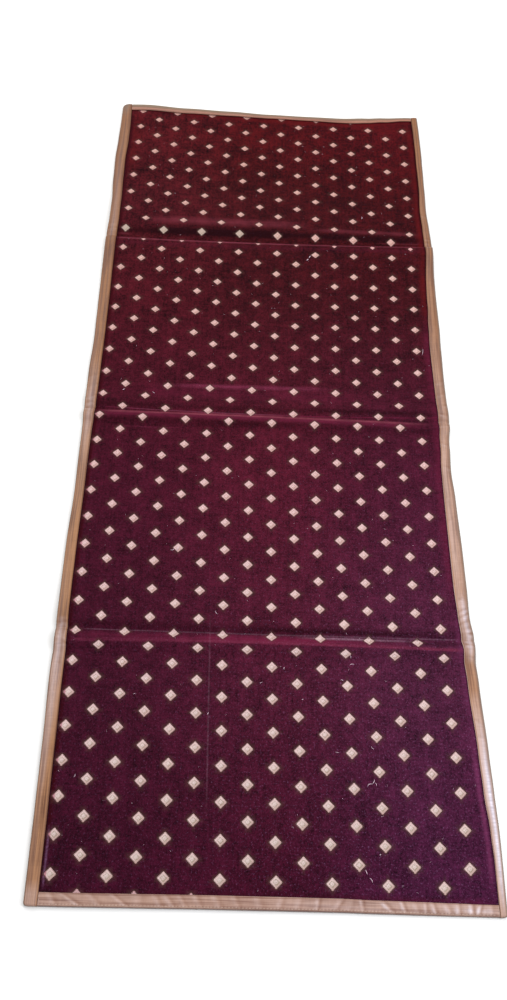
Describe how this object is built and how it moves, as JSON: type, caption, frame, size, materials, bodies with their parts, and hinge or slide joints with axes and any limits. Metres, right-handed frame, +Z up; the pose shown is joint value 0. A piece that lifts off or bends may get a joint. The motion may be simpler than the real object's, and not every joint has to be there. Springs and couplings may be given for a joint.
{
  "type": "velvet floor mat with satin binding, laid open",
  "caption": "Rectangular velvet floor mat with a small woven diamond repeat and satin-bound edges, lying open with the shallow cross creases left by folding.",
  "frame": {"origin": "on the surface that the mat lies on, under the middle of the whole mat", "axes": "+Z up, +Y along the mat's length towards the far edge, +X across its width to the right as seen from the near edge"},
  "size_m": [0.5874, 1.5202, 0.0121],
  "materials": {
    "velvet": "short dense pile with a soft sheen",
    "satin_binding": "satin weave, soft gloss",
    "motif_thread": "flat woven thread"
  },
  "bodies": {
    "root": {"velvet_panel": "velvet", "binding_left": "satin_binding", "binding_right": "satin_binding", "binding_near": "satin_binding", "binding_far": "satin_binding"}
  },
  "joints": []
}
